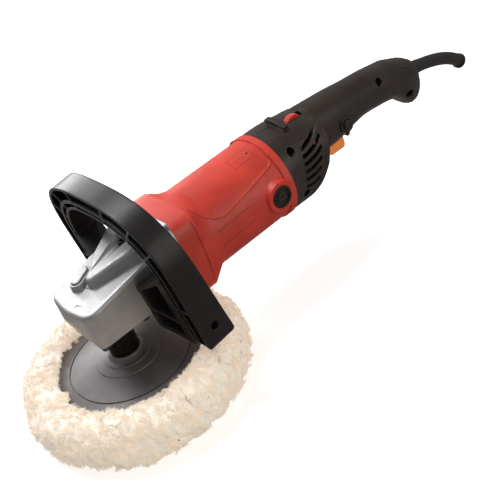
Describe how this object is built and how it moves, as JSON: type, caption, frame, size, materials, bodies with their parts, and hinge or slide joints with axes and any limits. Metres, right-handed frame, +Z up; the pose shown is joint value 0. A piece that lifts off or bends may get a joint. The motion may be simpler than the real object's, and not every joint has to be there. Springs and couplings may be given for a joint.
{
  "type": "rotary polisher",
  "caption": "Corded rotary polisher with a bevel gear head, bow handle, trigger rear handle with speed dial, and a tufted wool bonnet on a rubber backing pad.",
  "frame": {"origin": "on the spindle axis at the working face of the wool bonnet", "axes": "+Z up along the spindle towards the gear head, +X back along the motor towards the cord, -Y the user's left side with the lock-on button"},
  "size_m": [0.5313, 0.196, 0.1819],
  "materials": {
    "cast_aluminium": "satin cast",
    "steel": "ground",
    "black_steel": "black oxide",
    "red_plastic": "fine texture",
    "black_plastic": "fine texture",
    "satin_black": "satin",
    "orange_plastic": "satin",
    "rubber": "satin moulded rubber",
    "wool": "tufted wool pile",
    "copper": "enamelled wire and bars",
    "brass": "plain",
    "lamination": "stacked sheet",
    "carbon": "carbon",
    "board": "circuit board",
    "light_plastic": "moulded"
  },
  "bodies": {
    "frame": {"gear_housing": "cast_aluminium", "bearing_box": "cast_aluminium", "bearing_box_screws": "black_steel", "spindle_seal": "rubber", "spindle_bearing": "steel", "spindle_needle_bearing": "steel", "housing_screws": "steel", "shaft_lock_spring": "steel", "pinion_shaft_bearing": "steel", "pinion_shaft_needle_bearing": "steel", "gear_plate": "cast_aluminium", "armature_front_bearing": "steel", "stator_core": "lamination", "field_coils": "copper", "armature_rear_bearing": "steel", "rear_bearing_sleeve": "rubber", "fan_baffle": "black_plastic", "brush_holders": "brass", "carbon_brushes": "carbon", "brush_springs": "steel", "brush_caps": "black_plastic", "motor_housing": "red_plastic", "rear_handle_left": "black_plastic", "rear_handle_right": "black_plastic", "handle_screws": "black_steel", "switch_body": "black_plastic", "potentiometer": "light_plastic", "speed_board": "board", "capacitor": "light_plastic", "cord_guard": "rubber", "power_cord": "rubber", "cord_clamp": "black_plastic", "cord_clamp_screws": "steel", "bow_handle": "satin_black", "bow_bolts": "black_steel", "bow_washers": "steel"},
    "spindle": {"spindle": "steel", "bevel_gear": "steel", "gear_key": "steel", "spindle_circlip": "black_steel", "spindle_sleeve": "black_steel", "pad_thread_insert": "steel", "backing_pad": "rubber", "wool_bonnet": "wool"},
    "intermediate_shaft": {"pinion_shaft": "steel", "intermediate_gear": "steel", "intermediate_gear_clip": "black_steel"},
    "armature": {"armature_shaft": "steel", "armature_core": "lamination", "armature_windings": "copper", "commutator": "copper", "fan": "black_plastic"},
    "shaft_lock": {"shaft_lock_button": "black_plastic", "shaft_lock_pin": "steel"},
    "trigger": {"trigger": "orange_plastic"},
    "switch_plunger": {"switch_plunger": "light_plastic"},
    "lock_on_button": {"lock_on_button": "black_plastic"},
    "speed_dial": {"speed_dial": "red_plastic"}
  },
  "joints": [
    {"name": "spindle_spin", "type": "hinge", "parent": "frame", "child": "spindle", "pos_m": [0, 0, 0.08], "axis": [0, 0, 1], "continuous": true},
    {"name": "intermediate_spin", "type": "hinge", "parent": "frame", "child": "intermediate_shaft", "pos_m": [0.04, 0, 0.111], "axis": [1, 0, 0], "continuous": true},
    {"name": "armature_spin", "type": "hinge", "parent": "frame", "child": "armature", "pos_m": [0.12, 0, 0.097], "axis": [1, 0, 0], "continuous": true},
    {"name": "shaft_lock_press", "type": "slide", "parent": "frame", "child": "shaft_lock", "axis": [0, 0, -1], "range_m": [0, 0.0048], "deforming": ["shaft_lock_spring"]},
    {"name": "trigger_pull", "type": "hinge", "parent": "frame", "child": "trigger", "pos_m": [0.2435, 0, 0.088], "axis": [0, -1, 0], "range_deg": [0, 8]},
    {"name": "switch_plunger_slide", "type": "slide", "parent": "frame", "child": "switch_plunger", "axis": [0, 0, 1], "range_m": [0, 0.0023]},
    {"name": "lock_on_press", "type": "slide", "parent": "frame", "child": "lock_on_button", "axis": [0, 1, 0], "range_m": [0, 0.0035]},
    {"name": "speed_dial_turn", "type": "hinge", "parent": "frame", "child": "speed_dial", "pos_m": [0.2165, -0.006, 0.1246], "axis": [0, 1, 0], "range_deg": [0, 300]}
  ],
  "couplings": [
    {"joint": "intermediate_spin", "follows": "spindle_spin", "ratio": 3},
    {"joint": "armature_spin", "follows": "spindle_spin", "ratio": -8.6667},
    {"joint": "switch_plunger_slide", "follows": "trigger_pull", "m_per_rad": 0.0162}
  ]
}
